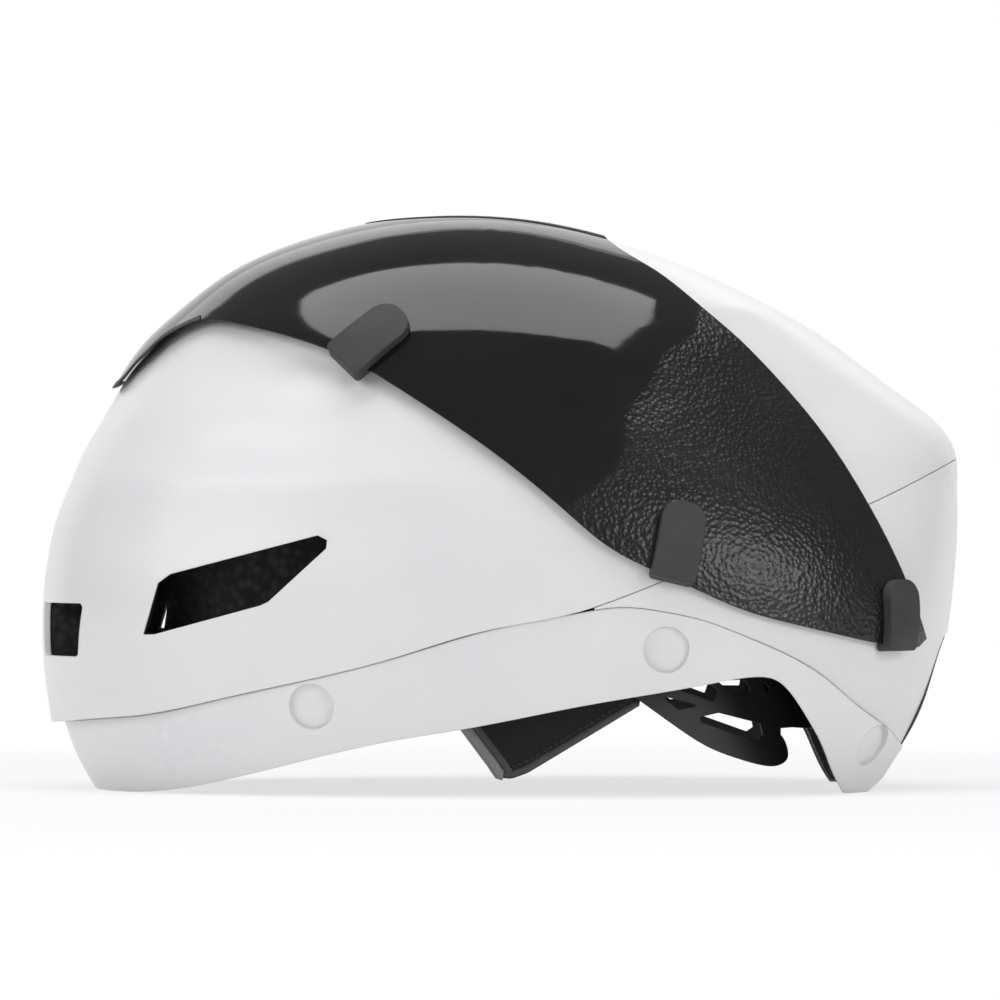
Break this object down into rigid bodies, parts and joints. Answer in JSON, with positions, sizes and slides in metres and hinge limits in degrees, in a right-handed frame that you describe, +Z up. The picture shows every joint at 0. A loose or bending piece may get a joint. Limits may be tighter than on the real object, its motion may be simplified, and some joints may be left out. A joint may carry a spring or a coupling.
{
  "type": "aero time trial helmet",
  "caption": "Short-tailed aero cycling helmet with a magnetic wrap-around visor stowed upside down over the crown and a dial-adjusted head cradle.",
  "frame": {"origin": "centre of the overall box at its base, on the surface that the front skirt and the rear lobes stand on", "axes": "+Z up, -X towards the wearer's front, -Y towards the wearer's left, Y is the symmetry axis"},
  "size_m": [0.3019, 0.2112, 0.188],
  "materials": {
    "shell": "white gloss lacquer on polycarbonate",
    "foam": "black moulded bead foam",
    "lens": "smoked gloss polycarbonate, grained at the cheeks",
    "rubber": "matt dark grey rubber",
    "cradle_plastic": "black satin nylon",
    "pad_fabric": "black brushed knit over soft foam",
    "panel_leather": "black leatherette with grey binding",
    "webbing": "black woven webbing",
    "magnet": "nickel plated magnet"
  },
  "bodies": {
    "helmet": {"upper_shell": "shell", "lower_shell": "shell", "rear_shell": "shell", "foam_liner": "foam", "rim_magnets": "magnet", "stow_magnets": "magnet", "nape_trim": "rubber", "temple_anchors": "cradle_plastic", "brow_pad": "pad_fabric", "rear_pad": "pad_fabric", "crown_pad": "pad_fabric", "left_side_pad": "pad_fabric", "right_side_pad": "pad_fabric", "left_strap_panel": "panel_leather", "right_strap_panel": "panel_leather", "strap_anchors": "cradle_plastic", "left_chin_strap": "webbing", "right_chin_strap": "webbing", "buckle_socket": "cradle_plastic", "buckle_tongue": "cradle_plastic"},
    "visor": {"visor_lens": "lens", "brow_trim": "rubber", "nose_trim": "rubber", "left_front_tab": "rubber", "left_middle_tab": "rubber", "left_rear_tab": "rubber", "right_front_tab": "rubber", "right_middle_tab": "rubber", "right_rear_tab": "rubber", "tab_magnets": "magnet"},
    "arms": {"left_arm": "cradle_plastic", "right_arm": "cradle_plastic"},
    "cradle": {"cradle": "cradle_plastic", "cradle_cushions": "pad_fabric", "dial_housing": "cradle_plastic", "housing_cover": "cradle_plastic"},
    "dial": {"fit_dial": "rubber", "dial_pinion": "cradle_plastic"},
    "left_rack": {"left_rack": "cradle_plastic"},
    "right_rack": {"right_rack": "cradle_plastic"}
  },
  "joints": [
    {"name": "visor_lift", "type": "slide", "parent": "helmet", "child": "visor", "axis": [0, 0, 1], "range_m": [0, 0.17]},
    {"name": "cradle_tilt", "type": "hinge", "parent": "helmet", "child": "arms", "pos_m": [-0.02114, 0, 0.0456], "axis": [0, 1, 0], "range_deg": [-3.5, 3]},
    {"name": "fit_slide", "type": "slide", "parent": "arms", "child": "cradle", "axis": [-1, 0, 0], "range_m": [0, 0.01]},
    {"name": "dial_turn", "type": "hinge", "parent": "cradle", "child": "dial", "pos_m": [0.124, 0, 0.02375], "axis": [-1, 0, 0], "range_deg": [0, 133.5]},
    {"name": "left_rack_draw", "type": "slide", "parent": "cradle", "child": "left_rack", "axis": [0, 1, 0], "range_m": [0, 0.0101]},
    {"name": "right_rack_draw", "type": "slide", "parent": "cradle", "child": "right_rack", "axis": [0, -1, 0], "range_m": [0, 0.0101]}
  ],
  "couplings": [
    {"joint": "dial_turn", "follows": "fit_slide", "rad_per_m": 229.88},
    {"joint": "left_rack_draw", "follows": "fit_slide", "ratio": 1},
    {"joint": "right_rack_draw", "follows": "fit_slide", "ratio": 1}
  ]
}
